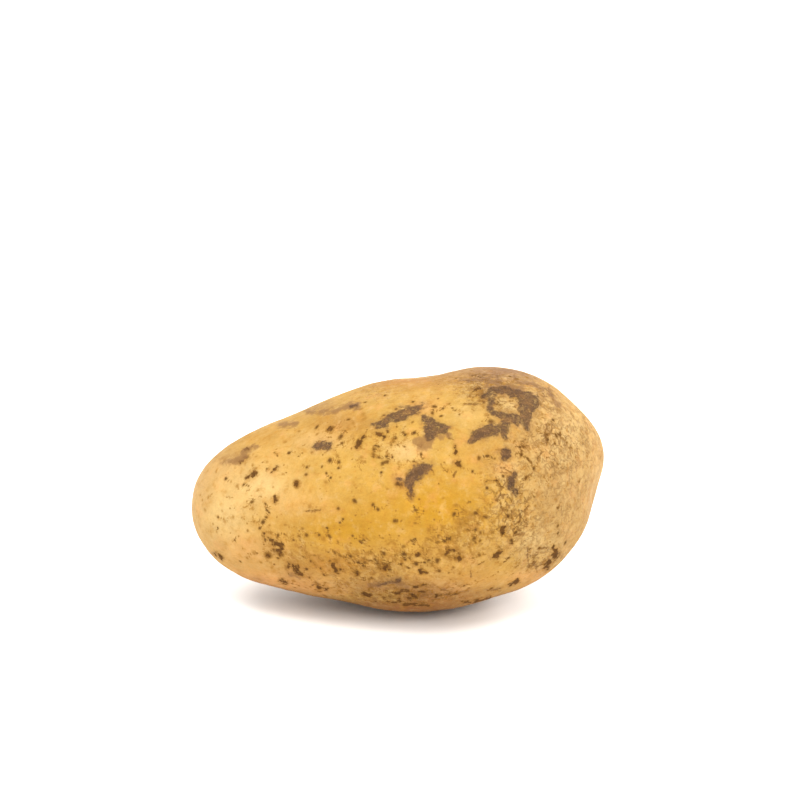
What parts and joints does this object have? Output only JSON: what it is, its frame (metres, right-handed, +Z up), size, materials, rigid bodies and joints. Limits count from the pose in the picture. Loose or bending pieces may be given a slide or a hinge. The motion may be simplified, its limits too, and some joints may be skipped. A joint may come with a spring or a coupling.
{
  "type": "potato",
  "caption": "Whole unpeeled oval potato, slender at one end and blunt at the other, lying on a small flat spot of its belly.",
  "frame": {"origin": "on the surface that the tuber lies on, under the middle of its length and depth", "axes": "+X along the tuber to its blunt stem end, +Y to its far side, +Z up from the surface that it lies on"},
  "size_m": [0.113, 0.0718, 0.0657],
  "materials": {
    "skin": "matte"
  },
  "bodies": {
    "root": {"potato": "skin"}
  },
  "joints": []
}
